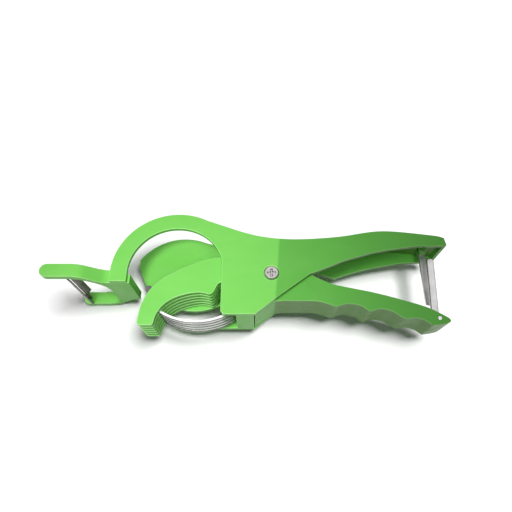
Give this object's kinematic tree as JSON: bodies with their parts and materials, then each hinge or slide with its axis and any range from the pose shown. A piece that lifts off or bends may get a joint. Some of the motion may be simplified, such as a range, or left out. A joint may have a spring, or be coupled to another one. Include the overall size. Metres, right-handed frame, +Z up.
{
  "type": "hand vegetable dicer",
  "caption": "Plier-like hand vegetable dicer: a finned comb pushes food through curved steel strips, with a swivel peeler on a fork at the front and folding steel stays between the handles",
  "frame": {"origin": "under the middle of the tool's box, on the surface it lies on", "axes": "X runs from the peeler to the handle ends, Y across the handles towards the upper handle, Z up through the thickness"},
  "size_m": [0.245, 0.0716, 0.052],
  "materials": {
    "green_plastic": "satin moulded",
    "strip_steel": "polished edges",
    "blade_steel": "stamped sheet",
    "screw_steel": "zinc plated",
    "pin_steel": "drawn wire",
    "rod_steel": "dull wire",
    "spring_steel": "spring wire",
    "stay_steel": "stamped strap"
  },
  "bodies": {
    "upper": {"upper_body": "green_plastic", "peeler_fork": "green_plastic", "fork_pins": "pin_steel", "front_rod": "rod_steel", "rear_rod": "pin_steel", "cutting_strip_1": "strip_steel", "cutting_strip_2": "strip_steel", "cutting_strip_3": "strip_steel", "cutting_strip_4": "strip_steel", "cutting_strip_5": "strip_steel", "pivot_screw": "screw_steel", "pivot_nut": "screw_steel", "pivot_washer": "pin_steel", "stay_pin_upper": "pin_steel"},
    "lever": {"lower_lever": "green_plastic", "pusher_comb": "green_plastic", "comb_pin": "pin_steel", "return_spring": "spring_steel", "stay_pin_lower": "pin_steel"},
    "stay_lower": {"stay_lower": "stay_steel"},
    "stay_upper": {"stay_upper": "stay_steel"},
    "blade": {"peeler_blade": "blade_steel"}
  },
  "joints": [
    {"name": "squeeze", "type": "hinge", "parent": "upper", "child": "lever", "pos_m": [0.0125, -0.0047, 0.026], "axis": [0, 0, 1], "range_deg": [0, 24], "stiffness_Nm_per_rad": 0.5, "springref_deg": -11.46},
    {"name": "stay_lower_fold", "type": "hinge", "parent": "lever", "child": "stay_lower", "pos_m": [0.1115, -0.0307, 0.026], "axis": [0, 0, 1], "range_deg": [0, 75]},
    {"name": "stay_upper_fold", "type": "hinge", "parent": "upper", "child": "stay_upper", "pos_m": [0.1121, 0.0176, 0.026], "axis": [0, 0, 1], "range_deg": [-87.5, 0]},
    {"name": "blade_swivel", "type": "hinge", "parent": "upper", "child": "blade", "pos_m": [-0.1085, -0.0068, 0.026], "axis": [0, 0, 1], "range_deg": [-25, 25]}
  ],
  "couplings": [
    {"joint": "stay_lower_fold", "follows": "squeeze", "ratio": 3.1},
    {"joint": "stay_upper_fold", "follows": "squeeze", "ratio": -3.62}
  ]
}
